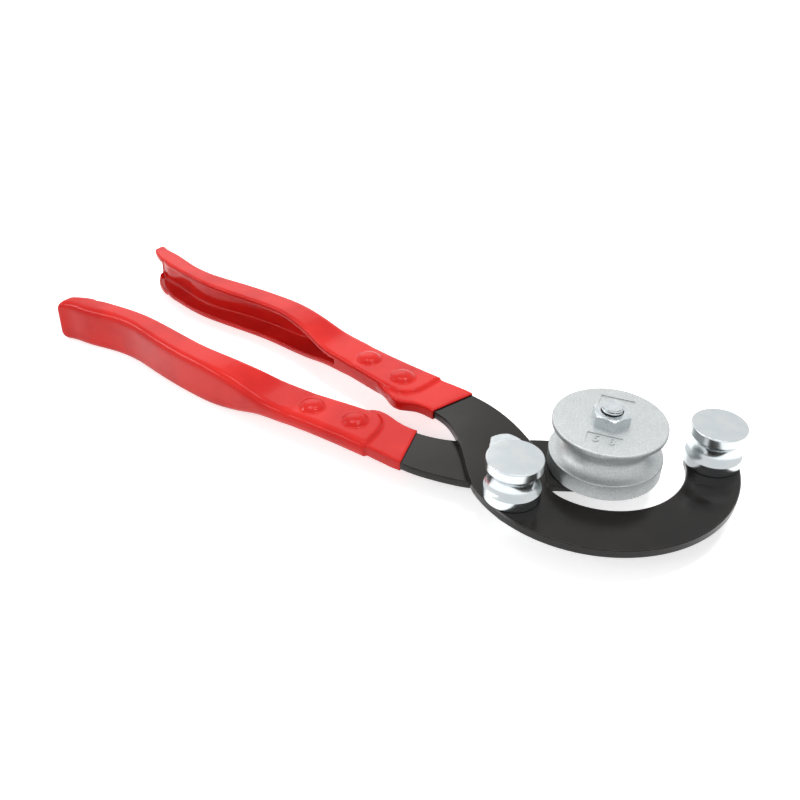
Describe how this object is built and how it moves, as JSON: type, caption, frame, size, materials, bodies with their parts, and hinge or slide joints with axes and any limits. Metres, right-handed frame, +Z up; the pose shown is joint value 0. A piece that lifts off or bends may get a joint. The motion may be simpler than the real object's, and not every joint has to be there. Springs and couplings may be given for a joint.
{
  "type": "tube bender",
  "caption": "Plier type tube bender: two crossing plate arms with red dipped channel grips, a C-shaped hook with grooved rollers and a clamped grooved sheave",
  "frame": {"origin": "bottom centre of the tool's box as it lies flat with the handles nearly closed, at the height of the pivot bolt's lower end and the lower grip's underside", "axes": "+X along the line between the handles, towards the head; +Y towards the upper arm's handle; +Z up, along the pivot"},
  "size_m": [0.422, 0.1244, 0.0552],
  "materials": {
    "black_steel": "satin black oxide film on hot rolled plate",
    "red_skin": "glossy dipped soft vinyl",
    "plain_steel": "plain pressed sheet steel",
    "sheave_casting": "dull zinc plated casting with a fine grain",
    "roller_zinc": "bright zinc plated turned steel",
    "fastener_zinc": "bright zinc plated fastener"
  },
  "bodies": {
    "upper_lever": {"upper_arm": "black_steel", "upper_channel": "plain_steel", "upper_grip": "red_skin", "upper_rivet_rear": "plain_steel", "upper_rivet_front": "plain_steel", "pivot_bolt": "fastener_zinc", "pivot_washer": "fastener_zinc", "pivot_nut": "fastener_zinc"},
    "lower_lever": {"lower_arm": "black_steel", "lower_channel": "plain_steel", "lower_grip": "red_skin", "lower_rivet_rear": "plain_steel", "lower_rivet_front": "plain_steel", "sheave": "sheave_casting", "sheave_bolt": "fastener_zinc", "sheave_nut": "fastener_zinc"},
    "near_roller_body": {"near_roller": "roller_zinc", "near_roller_washer": "fastener_zinc", "near_roller_nut": "fastener_zinc"},
    "far_roller_body": {"far_roller": "roller_zinc", "far_roller_washer": "fastener_zinc", "far_roller_nut": "fastener_zinc"}
  },
  "joints": [
    {"name": "pivot", "type": "hinge", "parent": "upper_lever", "child": "lower_lever", "pos_m": [0.09702, -0.01289, 0.01666], "axis": [0, 0, 1], "range_deg": [-6, 38]},
    {"name": "near_roller_spin", "type": "hinge", "parent": "upper_lever", "child": "near_roller_body", "pos_m": [0.11702, -0.03989, 0.02151], "axis": [0, 0, 1], "continuous": true},
    {"name": "far_roller_spin", "type": "hinge", "parent": "upper_lever", "child": "far_roller_body", "pos_m": [0.18762, 0.04751, 0.02151], "axis": [0, 0, 1], "continuous": true}
  ]
}
